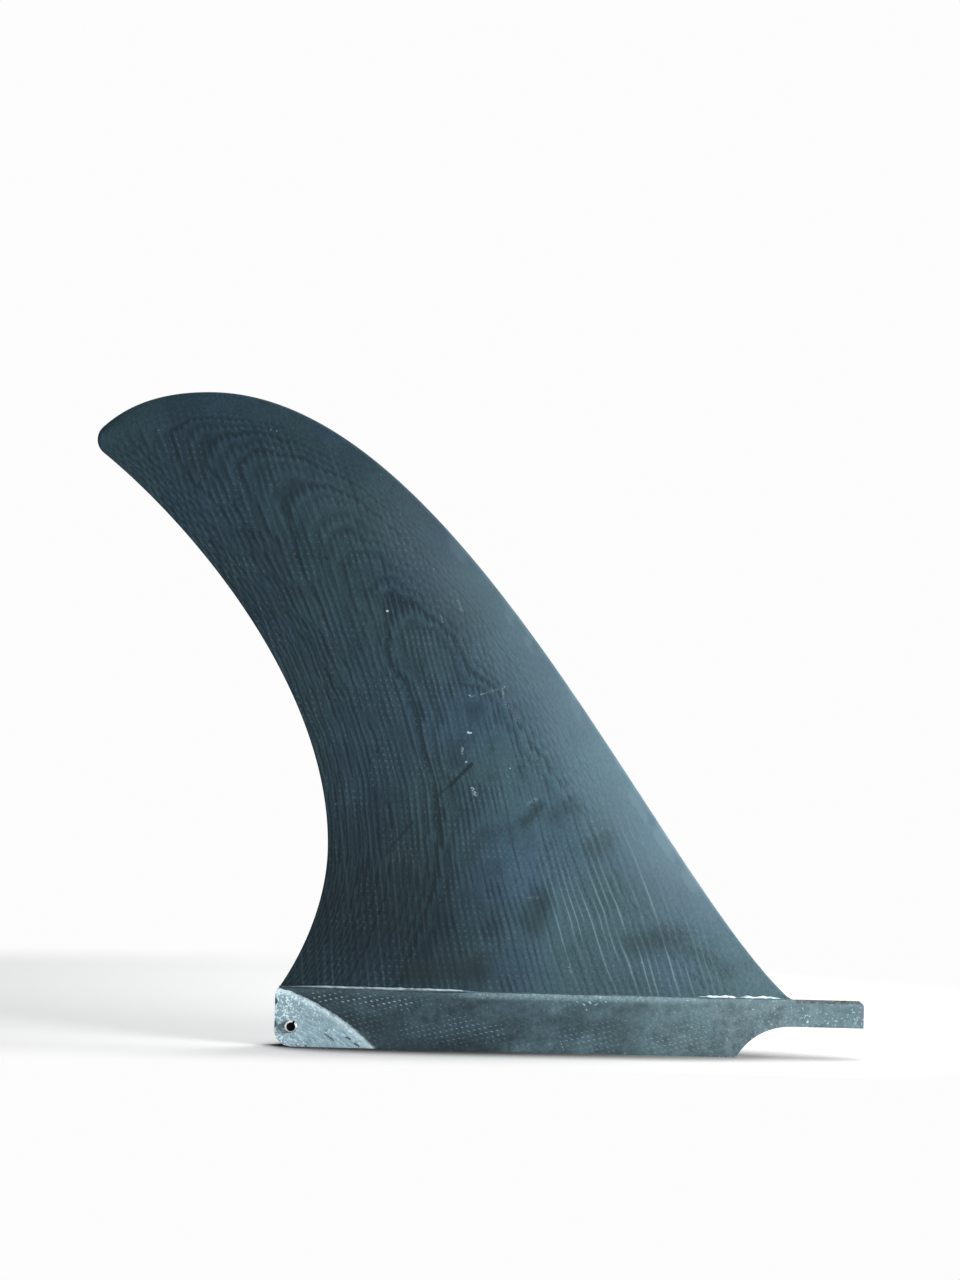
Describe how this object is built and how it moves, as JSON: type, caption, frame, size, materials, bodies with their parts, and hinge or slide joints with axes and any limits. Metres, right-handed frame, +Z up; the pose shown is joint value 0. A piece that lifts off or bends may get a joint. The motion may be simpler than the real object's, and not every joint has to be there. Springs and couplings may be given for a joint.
{
  "type": "longboard fin",
  "caption": "Raked glass-fibre longboard fin: a foiled blade on a box tab with a forward screw tongue and a slotted cross pin at the rear.",
  "frame": {"origin": "middle of the flat foot of the tab, in the fin's middle plane", "axes": "+X forward along the tab to the screw tongue, +Y across the fin, +Z up to the crown of the blade"},
  "size_m": [0.3014, 0.0126, 0.2521],
  "materials": {
    "laminate": "blue-grey tinted glass-fibre laminate, sanded through its cloth layers and glossed, bare and rough where the tab's rear corner is ground",
    "pin_steel": "bright spring steel"
  },
  "bodies": {
    "root": {"fin": "laminate", "roll_pin": "pin_steel"}
  },
  "joints": []
}
